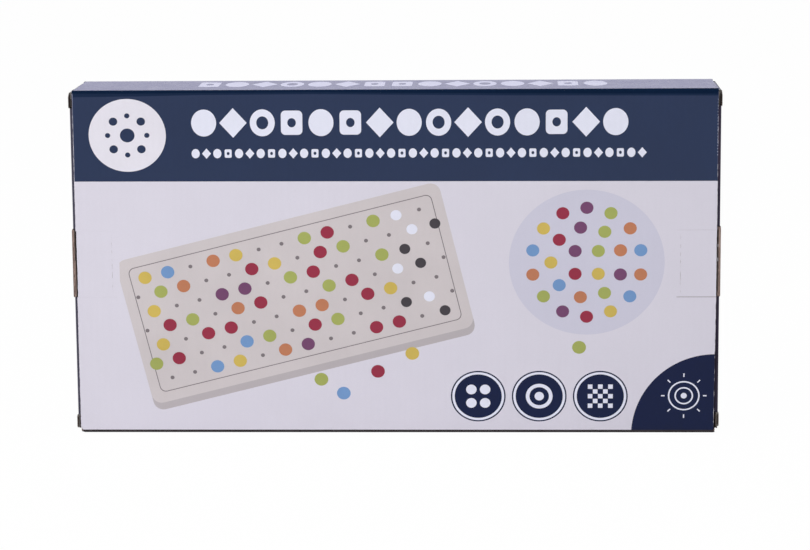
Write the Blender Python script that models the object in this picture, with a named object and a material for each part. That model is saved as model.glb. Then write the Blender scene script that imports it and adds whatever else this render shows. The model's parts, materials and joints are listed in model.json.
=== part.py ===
"""A boxed code-breaking peg game, closed as it stands on a shelf.

A tuck-end carton of fine corrugated board stands on its long narrow side. Each end has a closure panel
hinged on the back panel, a tuck flap folded from the closure, two dust flaps behind it and a lock tab cut
in the front panel. Inside are the wooden playing board, a cotton drawstring bag of pegs and the leaflet.

Metres, +Z up, +X to the right of the printed front, which faces -Y. The origin is the centre of the
carton's footprint, on the surface that it stands on.
"""

import math

import bmesh
import bpy
from mathutils import Matrix, Vector

MM = 0.001

# Clearances between pieces
seat_gap = 0.3 * MM  # between two faces that touch
slide_fit = 0.25 * MM  # below the playing board
peg_fit = 0.2 * MM  # round a tenon in its hole
overrun = 1.0 * MM  # how far a cutter or a joined piece runs past a face

# Playing board
board_length = 305 * MM
board_width = 165 * MM
board_thickness = 20 * MM
board_corner_radius = 6 * MM
board_edge_chamfer = 0.8 * MM
column_count = 10
column_pitch = 29 * MM
holes_in_row = 4
code_hole_pitch = 19.5 * MM
code_hole_first = 17 * MM  # up from the board's lower long edge
key_hole_pitch = 11 * MM
key_hole_last = 16 * MM  # down from the board's upper long edge
hole_depth = 7 * MM
hole_sides = 10

# Carton
caliper = 1.5 * MM  # thickness of the corrugated board
board_end_fit = 3 * MM  # from the playing board's ends to the dust flaps
board_headroom = 2.2 * MM  # from the playing board's upper edge to the top panel
sleeve_length = board_length + 2 * (board_end_fit + caliper)  # printed front, raw edge to raw edge
carton_depth = 45 * MM
carton_height = slide_fit + board_width + board_headroom + 2 * caliper
fold_radius = 1.4 * MM
fold_steps = 4
crease_mitre = 0.55 * MM  # slant of a flap's end along a fold
glue_flap_height = 30 * MM
glue_flap_taper = 12 * MM

# End closures
closure_inset = 1.2 * MM  # of a closure's cut edges from the carton's top and bottom
ear_height = 7 * MM  # slit lock at both ends of the tuck fold
lock_width = 33 * MM
lock_length = 19.5 * MM
lock_drop = 1.5 * MM  # of the lock below mid-height
lock_slot_margin = 0.6 * MM
tuck_length = 17 * MM
tuck_rest_lean = math.radians(12.5)
tuck_inset = 1.8 * MM
tuck_corner = 9 * MM
tuck_notch_depth = 11.5 * MM
dust_length = 25 * MM
dust_front_setback = 5 * MM
dust_back_setback = 3.5 * MM
dust_taper = 13.5 * MM
dust_corner = 4 * MM

# Pegs: base and tenon diameters, height of the body above the board and length of the tenon
code_base = 8.0 * MM
code_body = 15 * MM
code_tenon = 4.4 * MM
code_tenon_length = 6 * MM
key_base = 6.6 * MM
key_body = 14 * MM
key_tenon = 3.4 * MM
key_tenon_length = 5 * MM
peg_sides = 10
# Turned outline from the foot to the crown: radius as a share of the base radius, height of the body height
peg_outline_shares = (
    (0.86, 0.00),
    (1.00, 0.07),
    (0.99, 0.22),
    (0.80, 0.40),
    (0.66, 0.54),
    (0.86, 0.64),
    (0.95, 0.76),
    (0.84, 0.89),
    (0.50, 0.97),
)
rows_of_code_pegs = 2
layers_of_pegs = 2

# Cotton bag
cloth = 1.0 * MM
bag_width = 160 * MM
bag_height = 125 * MM
bag_points = 24
string_radius = 1.1 * MM
string_height_share = 0.875
string_resolution = 1
# From the bottom up: height, width and thickness as shares of the bag's, and how square the section is
bag_section_shares = (
    (0.000, 0.95, 0.94, 8),
    (0.020, 0.98, 1.00, 8),
    (0.220, 1.00, 1.00, 8),
    (0.300, 0.98, 0.86, 6),
    (0.480, 0.90, 0.60, 4),
    (0.680, 0.68, 0.52, 3),
    (0.800, 0.36, 0.46, 2),
    (0.850, 0.15, 0.44, 2),
    (0.900, 0.15, 0.44, 2),
    (0.940, 0.24, 0.52, 2),
    (1.000, 0.36, 0.62, 2),
)

# Leaflet, folded to four leaves
leaflet_width = 105 * MM
leaflet_height = 100 * MM
leaf = 0.2 * MM
leaf_gap = 0.15 * MM
leaf_count = 4

# Places worked out from the sizes above
half_depth = carton_depth / 2
inner_half_depth = half_depth - caliper
half_sleeve = sleeve_length / 2
ceiling = carton_height - caliper
crease_reach = caliper + seat_gap  # a flap's inner face starts this far from the axis that it folds about
mitre_reach = crease_reach - crease_mitre  # and its outer face this far, nearer to the rounded fold
closure_x = half_sleeve + seat_gap  # inner face of a closure
dust_x = half_sleeve - caliper  # inner face of a dust flap
dust_front_y = -inner_half_depth + dust_front_setback
dust_back_y = inner_half_depth - dust_back_setback
tuck_crease_y = -(inner_half_depth - seat_gap - caliper)
glue_flap_y = inner_half_depth - seat_gap - caliper
board_back_y = glue_flap_y - seat_gap
board_front_y = board_back_y - board_thickness
board_low = caliper + slide_fit
lock_z = carton_height / 2 - lock_drop
bag_back_y = board_front_y - seat_gap
bag_front_y = -inner_half_depth + seat_gap
bag_y = (bag_back_y + bag_front_y) / 2
bag_half_depth = (bag_back_y - bag_front_y) / 2
bag_low = caliper + seat_gap
bag_floor = bag_low + cloth

# Finishes: linear colour and roughness
navy_print = ((0.020, 0.036, 0.110), 0.45)
pale_print = ((0.62, 0.61, 0.72), 0.50)
kraft = ((0.30, 0.21, 0.15), 0.80)
white_wood = ((0.72, 0.66, 0.60), 0.65)
cotton = ((0.80, 0.80, 0.82), 0.90)
leaflet_paper = ((0.82, 0.82, 0.80), 0.70)
lacquer_roughness = 0.30
peg_colours = {
    "red": (0.45, 0.008, 0.035),
    "yellow": (0.85, 0.55, 0.03),
    "blue": (0.08, 0.32, 0.78),
    "orange": (0.80, 0.20, 0.05),
    "green": (0.42, 0.52, 0.06),
    "purple": (0.19, 0.04, 0.22),
}
key_colours = {"black": (0.012, 0.011, 0.012), "white": (0.80, 0.80, 0.82)}


def clear_scene():
    """Removes whatever the open file holds, so that only the model is left."""
    for obj in list(bpy.data.objects):
        bpy.data.objects.remove(obj, do_unlink=True)


def finish_material(name, finish):
    """A Principled material with this finish."""
    colour, roughness = finish
    material = bpy.data.materials.new(name)
    material.use_nodes = True
    shader = material.node_tree.nodes["Principled BSDF"]
    shader.inputs["Base Color"].default_value = (*colour, 1.0)
    shader.inputs["Roughness"].default_value = roughness
    shader.inputs["Metallic"].default_value = 0.0
    return material


def add_piece(name, shape, pivot, finish, turn=0.0):
    """Makes an object of a bmesh in world places, with its origin on pivot, turned there about Z."""
    bmesh.ops.recalc_face_normals(shape, faces=shape.faces)
    bmesh.ops.translate(shape, verts=shape.verts, vec=-Vector(pivot))
    mesh = bpy.data.meshes.new(name)
    shape.to_mesh(mesh)
    shape.free()
    mesh.materials.append(finish_material(name, finish))
    obj = bpy.data.objects.new(name, mesh)
    obj.location = pivot
    obj.rotation_euler = (0, 0, turn)
    bpy.context.scene.collection.objects.link(obj)
    return obj


def combine(target, tool, operation):
    """Joins tool to target, or cuts it out, and leaves the tool as a wire guide."""
    tool.hide_render = True
    tool.display_type = "WIRE"
    modifier = target.modifiers.new(tool.name, "BOOLEAN")
    modifier.operation = operation
    modifier.solver = "EXACT"
    modifier.object = tool


def add_prism(shape, outline, low, high, place):
    """Adds a closed solid to shape: the outline at both levels, with sides between."""
    ends = [[shape.verts.new(place(u, v, w)) for u, v in outline] for w in (low, high)]
    for end in ends:
        shape.faces.new(end)
    for i in range(len(outline)):
        j = (i + 1) % len(outline)
        shape.faces.new((ends[0][i], ends[0][j], ends[1][j], ends[1][i]))


def prism(outline, low, high, place):
    """A bmesh with one prism in it."""
    shape = bmesh.new()
    add_prism(shape, outline, low, high, place)
    return shape


def rectangle(low_u, high_u, low_v, high_v):
    """The four corners of an upright rectangle."""
    return [(low_u, low_v), (high_u, low_v), (high_u, high_v), (low_u, high_v)]


def arc(centre, radius, start, end, steps):
    """Points of a round stretch, angles in degrees."""
    angles = [math.radians(start + (end - start) * i / steps) for i in range(steps + 1)]
    return [(centre[0] + radius * math.cos(a), centre[1] + radius * math.sin(a)) for a in angles]


def rounded_rectangle(low_u, high_u, low_v, high_v, radius, steps):
    """A rectangle with round corners, anticlockwise."""
    return (
        arc((high_u - radius, low_v + radius), radius, -90, 0, steps)
        + arc((high_u - radius, high_v - radius), radius, 0, 90, steps)
        + arc((low_u + radius, high_v - radius), radius, 90, 180, steps)
        + arc((low_u + radius, low_v + radius), radius, 180, 270, steps)
    )


def flat_in_xz(u, v, w):
    """Outline in X and Z, thickness along Y."""
    return (u, w, v)


def flat_in_xy(u, v, w):
    """Outline in X and Y, thickness along Z."""
    return (u, v, w)


def fold_panel(name, low, outer, inner):
    """Top or bottom panel: its outer edges are rounded folds, and a dust flap folds at each end."""
    outline = rectangle(-half_sleeve, half_sleeve, -half_depth, half_depth)
    shape = prism(outline, low, low + caliper, flat_in_xy)
    rim = [e for e in shape.edges if all(abs(v.co.z - outer) < seat_gap for v in e.verts)]
    bmesh.ops.bevel(shape, geom=rim, offset=fold_radius, segments=fold_steps, affect="EDGES")
    panel = add_piece(name, shape, (0, 0, 0), navy_print)

    folds = bmesh.new()
    for side in (1, -1):
        rod = arc((side * dust_x, inner), fold_radius, 0, 360, 4 * fold_steps)[:-1]
        add_prism(folds, rod, dust_front_y, dust_back_y, flat_in_xz)
    combine(panel, add_piece(name + "_folds", folds, (0, 0, 0), navy_print), "UNION")
    return panel


def back_panel():
    """Back of the sleeve, with the rounded folds that carry both closures at its ends."""
    fold = arc((closure_x, inner_half_depth), caliper, -90, 90, 2 * fold_steps)
    right = [(closure_x, inner_half_depth)] + fold
    left = [(-x, y) for x, y in reversed(right)]
    shape = prism(right + left, caliper + seat_gap, ceiling - seat_gap, flat_in_xy)
    return add_piece("carton_back_panel", shape, (0, 0, 0), pale_print)


def front_panel():
    """Printed front, with the recess of a lock tab cut in each raw end."""
    inner_x = half_sleeve - lock_length - seat_gap / 2
    low_z = caliper + seat_gap
    high_z = ceiling - seat_gap
    slit_low = lock_z - lock_width / 2 - seat_gap
    slit_high = lock_z + lock_width / 2 + seat_gap
    right = [
        (half_sleeve, low_z),
        (half_sleeve, slit_low),
        (inner_x, slit_low),
        (inner_x, slit_high),
        (half_sleeve, slit_high),
        (half_sleeve, high_z),
    ]
    left = [(-x, z) for x, z in reversed(right)]
    shape = prism(right + left, -half_depth, -inner_half_depth, flat_in_xz)
    return add_piece("carton_front_panel", shape, (0, 0, 0), pale_print)


def glue_flap():
    """Inner flap of the glued seam, up the inside of the back panel, with tapered ends."""
    low_z = caliper + seat_gap
    foot = dust_x - seat_gap
    outline = [
        (-foot, low_z),
        (foot, low_z),
        (foot - glue_flap_taper, low_z + glue_flap_height),
        (glue_flap_taper - foot, low_z + glue_flap_height),
    ]
    shape = prism(outline, glue_flap_y, glue_flap_y + caliper, flat_in_xz)
    return add_piece("carton_glue_flap", shape, (0, 0, 0), kraft)


def mitred(reach, outside):
    """How far from its fold a flap's point lies, with the end along the fold cut on a slant."""
    return mitre_reach if outside and reach == crease_reach else reach


def closure(name, side):
    """End closure, hinged at the back: a flat panel, the rounded tuck fold and three raw stretches."""
    hinge = (side * closure_x, inner_half_depth, 0)
    low_z = closure_inset
    high_z = carton_height - closure_inset
    outer_x = closure_x + caliper
    plate = [
        (closure_x, inner_half_depth - mitred(crease_reach, False)),
        (outer_x, inner_half_depth - mitred(crease_reach, True)),
        (outer_x, tuck_crease_y),
        (closure_x, tuck_crease_y),
    ]
    shape = prism([(side * x, y) for x, y in plate], low_z, high_z, flat_in_xy)
    panel = add_piece(name, shape, hinge, navy_print)

    raw_half = lock_width / 2 + lock_slot_margin
    levels = (
        low_z,
        low_z + ear_height,
        lock_z - raw_half,
        lock_z + raw_half,
        high_z - ear_height,
        high_z,
    )
    ear = rectangle(closure_x, outer_x, -half_depth, tuck_crease_y + overrun)
    raw = bmesh.new()
    for low, high in zip(levels[0::2], levels[1::2]):
        add_prism(raw, [(side * x, y) for x, y in ear], low, high, flat_in_xy)
    combine(panel, add_piece(name + "_raw_edges", raw, hinge, kraft), "UNION")

    fold = arc((closure_x, tuck_crease_y), caliper, 0, -180, 2 * fold_steps)
    fold += [
        (closure_x, tuck_crease_y),
        (closure_x, tuck_crease_y + overrun),
        (outer_x, tuck_crease_y + overrun),
    ]
    folds = bmesh.new()
    for low, high in zip(levels[1::2], levels[2::2]):
        add_prism(folds, [(side * x, y) for x, y in fold], low, high, flat_in_xy)
    combine(panel, add_piece(name + "_folds", folds, hinge, navy_print), "UNION")
    return panel


def tuck_flap(name, side):
    """Flap folded from the closure behind the printed front, notched where the lock tab goes in."""
    low_z = caliper + tuck_inset
    high_z = ceiling - tuck_inset
    notch_half = lock_width / 2 + lock_slot_margin
    outer_y = tuck_crease_y - caliper
    outline = [
        (crease_reach, low_z),
        (tuck_length - tuck_corner / 2, low_z),
        (tuck_length, low_z + tuck_corner),
        (tuck_length, high_z - tuck_corner),
        (tuck_length - tuck_corner / 2, high_z),
        (crease_reach, high_z),
        (crease_reach, lock_z + notch_half),
        (tuck_notch_depth, lock_z + notch_half),
        (tuck_notch_depth, lock_z - notch_half),
        (crease_reach, lock_z - notch_half),
    ]

    def place(u, v, w):
        return (side * (closure_x - mitred(u, w == outer_y)), w, v)

    shape = prism(outline, outer_y, tuck_crease_y, place)
    hinge = (side * closure_x, tuck_crease_y, 0)
    return add_piece(name, shape, hinge, kraft, turn=-side * tuck_rest_lean)


def dust_flap(name, side, level):
    """Flap that closes a corner behind the closure, folded from the top (+1) or bottom (-1) panel."""
    crease_z = ceiling if level > 0 else caliper
    outline = [
        (dust_front_y, crease_reach),
        (dust_front_y, dust_length - dust_corner),
        (dust_front_y + dust_corner, dust_length),
        (dust_back_y - dust_taper, dust_length),
        (dust_back_y, crease_reach),
    ]
    outer_x = dust_x + caliper

    def place(u, v, w):
        return (side * w, u, crease_z - level * mitred(v, w == outer_x))

    shape = prism(outline, dust_x, outer_x, place)
    return add_piece(name, shape, (side * dust_x, 0, crease_z), kraft)


def lock_tab(name, side):
    """Tab cut in the printed front, pressed in through the notch of the tuck flap."""
    outline = rectangle(
        side * (half_sleeve - lock_length + seat_gap / 2),
        side * half_sleeve,
        lock_z - lock_width / 2,
        lock_z + lock_width / 2,
    )
    shape = prism(outline, -half_depth, -inner_half_depth, flat_in_xz)
    hinge = (side * (half_sleeve - lock_length), -inner_half_depth, lock_z)
    return add_piece(name, shape, hinge, pale_print)


def hole_row(first, pitch):
    """Heights of one row's holes above the board's lower edge."""
    return [board_low + first + pitch * i for i in range(holes_in_row)]


def drill(shape, place, direction, diameter):
    """Adds a drill from the face at place, along direction, to the shape of the cutters."""
    turn = Vector((0, 0, 1)).rotation_difference(direction).to_matrix().to_4x4()
    middle = Vector(place) + direction * (hole_depth - overrun) / 2
    bmesh.ops.create_cone(
        shape,
        cap_ends=True,
        segments=hole_sides,
        radius1=diameter / 2,
        radius2=diameter / 2,
        depth=hole_depth + overrun,
        matrix=Matrix.Translation(middle) @ turn,
    )


def playing_board():
    """Wooden board: a short key row and a long code row of holes in each column, four holes in one end."""
    half = board_length / 2
    outline = rounded_rectangle(
        -half, half, board_low, board_low + board_width, board_corner_radius, fold_steps
    )
    shape = prism(outline, board_front_y, board_back_y, flat_in_xz)
    rim = [e for e in shape.edges if abs(e.verts[0].co.y - e.verts[1].co.y) < seat_gap]
    bmesh.ops.bevel(shape, geom=rim, offset=board_edge_chamfer, segments=1, affect="EDGES")
    board = add_piece("playing_board", shape, (0, 0, 0), white_wood)

    code_heights = hole_row(code_hole_first, code_hole_pitch)
    key_heights = hole_row(
        board_width - key_hole_last - key_hole_pitch * (holes_in_row - 1), key_hole_pitch
    )
    into_face = Vector((0, 1, 0))
    holes = bmesh.new()
    for column in range(column_count):
        x = column_pitch * (column - (column_count - 1) / 2)
        for z in code_heights:
            drill(holes, (x, board_front_y, z), into_face, code_tenon + 2 * peg_fit)
        for z in key_heights:
            drill(holes, (x, board_front_y, z), into_face, key_tenon + 2 * peg_fit)
    middle_y = (board_front_y + board_back_y) / 2
    for z in code_heights:
        drill(holes, (-half, middle_y, z), Vector((1, 0, 0)), code_tenon + 2 * peg_fit)
    combine(board, add_piece("board_drills", holes, (0, 0, 0), white_wood), "DIFFERENCE")
    return board


def peg(name, colour, base, body, tenon, tenon_length, foot, head_side):
    """Turned peg lying along X: foot is where its body meets the tenon, its head towards head_side."""
    outline = [(tenon / 2, -tenon_length), (tenon / 2, 0)]
    outline += [(share * base / 2, height * body) for share, height in peg_outline_shares]
    shape = bmesh.new()
    rings = []
    for radius, along in outline:
        ring = []
        for x, y in arc((0, 0), radius, 0, 360, peg_sides)[:-1]:
            ring.append(shape.verts.new((foot[0] + head_side * along, foot[1] + x, foot[2] + y)))
        rings.append(ring)
    for lower, upper in zip(rings, rings[1:]):
        for i in range(peg_sides):
            j = (i + 1) % peg_sides
            shape.faces.new((lower[i], lower[j], upper[j], upper[i]))
    shape.faces.new(rings[0])
    crown = shape.verts.new((foot[0] + head_side * body, foot[1], foot[2]))
    for i in range(peg_sides):
        shape.faces.new((rings[-1][i], rings[-1][(i + 1) % peg_sides], crown))
    obj = add_piece(name, shape, foot, (colour, lacquer_roughness))
    obj.data.shade_smooth()
    return obj


def layer_y(layer, base):
    """How far back a layer of pegs lies, side by side across the bag."""
    return bag_y + (layer - (layers_of_pegs - 1) / 2) * (base + seat_gap)


def pegs():
    """Code pegs in two rows and two layers, one column a colour, with the key pegs on top of them."""
    length = code_body + code_tenon_length
    row_pitch = code_base + seat_gap
    first_z = bag_floor + seat_gap + code_base / 2
    for column, (word, colour) in enumerate(peg_colours.items()):
        middle = (column - (len(peg_colours) - 1) / 2) * (length + seat_gap)
        number = 0
        for row in range(rows_of_code_pegs):
            for layer in range(layers_of_pegs):
                number += 1
                head_side = 1 if (row + layer) % 2 else -1
                foot_x = middle + head_side * (code_tenon_length - length / 2)
                foot = (foot_x, layer_y(layer, code_base), first_z + row * row_pitch)
                name = f"code_peg_{word}_{number}"
                peg(name, colour, code_base, code_body, code_tenon, code_tenon_length, foot, head_side)

    key_length = key_body + key_tenon_length
    key_z = bag_floor + rows_of_code_pegs * row_pitch + seat_gap + key_base / 2
    for layer, (word, colour) in enumerate(key_colours.items()):
        for column in range(len(peg_colours)):
            middle = (column - (len(peg_colours) - 1) / 2) * (key_length + seat_gap)
            head_side = 1 if column % 2 else -1
            foot_x = middle + head_side * (key_tenon_length - key_length / 2)
            foot = (foot_x, layer_y(layer, key_base), key_z)
            name = f"key_peg_{word}_{column + 1}"
            peg(name, colour, key_base, key_body, key_tenon, key_tenon_length, foot, head_side)


def bag_ring(half_width, half_thick, square, z):
    """One level section of the bag, a superellipse."""
    points = []
    for i in range(bag_points):
        angle = math.tau * (i + 0.5) / bag_points
        c, s = math.cos(angle), math.sin(angle)
        x = math.copysign(abs(c) ** (2 / square), c) * half_width
        y = math.copysign(abs(s) ** (2 / square), s) * half_thick
        points.append((x, bag_y + y, z))
    return points


def bridge(shape, lower, upper):
    """Joins two rings of the same count by quads."""
    for i in range(len(lower)):
        j = (i + 1) % len(lower)
        shape.faces.new((lower[i], lower[j], upper[j], upper[i]))


def peg_bag():
    """Cotton bag, standing in front of the board: a thin open shell, drawn in at the neck."""
    shape = bmesh.new()
    outer, inner = [], []
    for number, (height, width, thick, square) in enumerate(bag_section_shares):
        z = bag_low + height * bag_height
        half_width = width * bag_width / 2
        half_thick = thick * bag_half_depth
        outer.append([shape.verts.new(p) for p in bag_ring(half_width, half_thick, square, z)])
        inner_z = z if number else bag_floor
        ring = bag_ring(half_width - cloth, half_thick - cloth, square, inner_z)
        inner.append([shape.verts.new(p) for p in ring])
    for rings in (outer, inner):
        for lower, upper in zip(rings, rings[1:]):
            bridge(shape, lower, upper)
        shape.faces.new(rings[0])
    bridge(shape, outer[-1], inner[-1])
    obj = add_piece("drawstring_bag", shape, (0, 0, 0), cotton)
    obj.data.shade_smooth()
    return obj


def drawstring():
    """Cotton string drawn tight in a closed ring round the bag's neck."""
    neck = [s for s in bag_section_shares if s[0] < string_height_share][-1]
    reach = seat_gap + string_radius
    half_width = neck[1] * bag_width / 2 + reach
    half_thick = neck[2] * bag_half_depth + reach
    z = bag_low + string_height_share * bag_height
    curve = bpy.data.curves.new("bag_drawstring", "CURVE")
    curve.dimensions = "3D"
    curve.bevel_depth = string_radius
    curve.bevel_resolution = string_resolution
    spline = curve.splines.new("POLY")
    ring = arc((0, 0), 1, 0, 360, bag_points)[:-1]
    spline.points.add(len(ring) - 1)
    for point, (across, back) in zip(spline.points, ring):
        point.co = (half_width * across, bag_y + half_thick * back, z, 1)
    spline.use_cyclic_u = True
    curve.materials.append(finish_material("bag_drawstring", cotton))
    obj = bpy.data.objects.new("bag_drawstring", curve)
    bpy.context.scene.collection.objects.link(obj)
    return obj


def zigzag(low, high, start):
    """Section of a strip folded to and fro, leaf by leaf from start along Y."""
    one_side, other_side = [], []
    for number in range(leaf_count):
        front = start + number * (leaf + leaf_gap)
        back = front + leaf
        first = number == 0
        last = number == leaf_count - 1
        if number % 2 == 0:
            one_side += [(front, low if first else low + leaf), (front, high)]
            other_side += [(back, low), (back, high if last else high - leaf)]
        else:
            one_side += [(back, high), (back, low if last else low + leaf)]
            other_side += [(front, high - leaf), (front, low)]
    return one_side + other_side[::-1]


def leaflet():
    """Folded leaflet behind the board, standing on the glue flap's edge."""
    low_z = caliper + 2 * seat_gap + glue_flap_height
    outline = zigzag(low_z, low_z + leaflet_height, board_back_y + seat_gap)

    def place(u, v, w):
        return (w, u, v)

    shape = prism(outline, -leaflet_width / 2, leaflet_width / 2, place)
    return add_piece("instruction_leaflet", shape, (0, 0, 0), leaflet_paper)


def main():
    """Makes every piece of the game and its carton."""
    clear_scene()
    front_panel()
    back_panel()
    fold_panel("carton_top_panel", ceiling, carton_height, ceiling)
    fold_panel("carton_bottom_panel", 0, 0, caliper)
    glue_flap()
    for word, side in (("right", 1), ("left", -1)):
        closure(f"{word}_end_closure", side)
        tuck_flap(f"{word}_tuck_flap", side)
        lock_tab(f"{word}_lock_tab", side)
        dust_flap(f"{word}_upper_dust_flap", side, 1)
        dust_flap(f"{word}_lower_dust_flap", side, -1)
    playing_board()
    peg_bag()
    drawstring()
    pegs()
    leaflet()


main()
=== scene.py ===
"""Looks of the boxed code-breaking peg game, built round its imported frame.

Shapes are worked out in millimetres and turned to metres as each mesh is made. The front is at -Y.
"""

import json
import math
import random

import bmesh
import bpy
from mathutils import Matrix, Vector
from mathutils.geometry import delaunay_2d_cdt


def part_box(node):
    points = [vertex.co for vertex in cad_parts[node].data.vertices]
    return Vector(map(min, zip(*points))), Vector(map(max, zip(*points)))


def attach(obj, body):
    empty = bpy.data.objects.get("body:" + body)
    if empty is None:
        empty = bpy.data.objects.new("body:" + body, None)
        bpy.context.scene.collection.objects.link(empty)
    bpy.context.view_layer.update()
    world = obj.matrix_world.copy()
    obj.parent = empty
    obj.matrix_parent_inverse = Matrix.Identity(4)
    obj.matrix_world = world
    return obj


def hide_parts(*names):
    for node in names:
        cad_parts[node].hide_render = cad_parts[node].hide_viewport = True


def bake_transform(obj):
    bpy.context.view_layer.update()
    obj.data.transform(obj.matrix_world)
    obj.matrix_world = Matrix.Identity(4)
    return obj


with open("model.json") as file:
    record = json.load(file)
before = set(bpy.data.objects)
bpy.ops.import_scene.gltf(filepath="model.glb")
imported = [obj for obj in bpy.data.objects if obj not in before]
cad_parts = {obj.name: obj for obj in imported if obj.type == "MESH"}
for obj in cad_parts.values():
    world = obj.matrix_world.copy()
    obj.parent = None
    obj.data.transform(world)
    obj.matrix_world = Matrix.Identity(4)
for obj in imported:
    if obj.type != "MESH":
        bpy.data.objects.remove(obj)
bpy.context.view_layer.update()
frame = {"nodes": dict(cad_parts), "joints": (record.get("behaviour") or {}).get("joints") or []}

MM = 0.001
nodes = frame["nodes"]
joints = {joint["name"]: joint for joint in frame["joints"]}
sides = (("right", 1), ("left", -1))
levels = (("upper", 1), ("lower", -1))


def box_mm(node):
    """Lowest and highest corner of a CAD node, in millimetres."""
    low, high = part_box(node)
    return low / MM, high / MM


def pivot_mm(joint):
    """Place of a joint's axis, in millimetres."""
    return Vector(joints[joint]["pos_m"]) / MM


# Sizes read from the frame; the lock tabs show a little higher than their solids
front_low, front_high = box_mm("carton_front_panel")
closure_low, closure_high = box_mm("right_end_closure")
tab_rise = Vector((0, 0, 1.0))
tab_low, tab_high = (corner + tab_rise for corner in box_mm("right_lock_tab"))
tuck_low, tuck_high = box_mm("right_tuck_flap")
dust_low, dust_high = box_mm("right_upper_dust_flap")
board_low, board_high = box_mm("playing_board")
bag_low, bag_high = box_mm("drawstring_bag")
string_low, string_high = box_mm("bag_drawstring")
half_sleeve = front_high.x
half_depth = -front_low.y
caliper = front_high.y - front_low.y
inner_y = half_depth - caliper
height = box_mm("carton_top_panel")[1].z
ceiling = height - caliper
closure_pivot = pivot_mm("right_closure_hinge")
tuck_pivot = pivot_mm("right_tuck_crease")
tab_pivot = pivot_mm("right_lock_tab_crease")
dust_pivot = pivot_mm("right_upper_dust_crease")

# Corrugated board
liner = 0.25
flute_wall = 0.18
flute_pitch = 3.3
flute_steps = 8
flute_bite = 0.02
flute_inset = 0.2
slit_inset = 0.4
fold_radius = 1.0
fold_steps = 6
fold_crispness = 0.22
crease_reach = 1.8
crease_steps = 3
bottom_corner = {"right": (0.8, 1.6), "left": (1.8, 3.2)}
weld = 1e-4

# Raw cuts of the front
ragged_step = 1.3
ragged_depth = 0.14
rim_width = {"right": 0.24, "left": 0.38}
scuff_length = (0.8, 3.4)
scuff_width = (0.12, 0.34)
nick_pitch = 1.5
nick_width = 0.45
nick_height = 0.55
raw_end_lean = {"right": 0.75, "left": 0}

# End closures: thinner where they are folded, with raw tongues that stand a little proud
closure_caliper = 1.35
closure_recess = 0.35
closure_inner = closure_high.x - closure_recess - closure_caliper
low_ear = {"right": (2.0, 6.8), "left": (1.2, 6.4)}
high_ear = 7.5
ear_cut = 0.9
ear_crush = 2.0
tongue_inset = 0.3

# Slit locks, lock tabs and tuck flaps
notch_margin = 0.6
slot_margins = {"right": (0.05, 1.6), "left": (0.05, 0.85)}
torn_spots = {"right": (93.1, 86.6), "left": ()}
torn_reach = 0.7
# Heights above the slot's foot where the inner cut is painted near black as the shadow of the gap beside
# the lock tab
slot_shade_spans = {"right": (2, 34), "left": (18, 34)}
slit_half_gap = {"right": (0.22, 0.06), "left": (0.02, 0.02)}
tab_recess = {"right": 0, "left": 0.35}
tuck_corner = 9
tuck_notch = 11.5
tuck_lean = math.radians(12.5)

# Linear colours
bloom = 0.535
bloom_tint = (0.565, 0.54, 1.0)
navy = (0.010, 0.019, 0.058)
print_white = (0.81, 0.82, 0.95)
kraft = (0.27, 0.19, 0.165)
dot_colours = {
    "red": (0.31, 0.022, 0.055),
    "yellow": (0.64, 0.47, 0.10),
    "blue": (0.17, 0.32, 0.60),
    "orange": (0.53, 0.20, 0.10),
    "green": (0.38, 0.42, 0.11),
    "purple": (0.17, 0.055, 0.145),
    "black": (0.050, 0.042, 0.052),
}
lacquers = {
    "red": (0.45, 0.008, 0.035),
    "yellow": (0.85, 0.55, 0.03),
    "blue": (0.08, 0.32, 0.78),
    "orange": (0.80, 0.20, 0.05),
    "green": (0.42, 0.52, 0.06),
    "purple": (0.19, 0.04, 0.22),
    "black": (0.012, 0.011, 0.012),
    "white": (0.80, 0.80, 0.82),
}


def scaled(colour, factor):
    """A colour made darker or lighter, up to white."""
    return tuple(min(1.0, channel * factor) for channel in colour)


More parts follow.
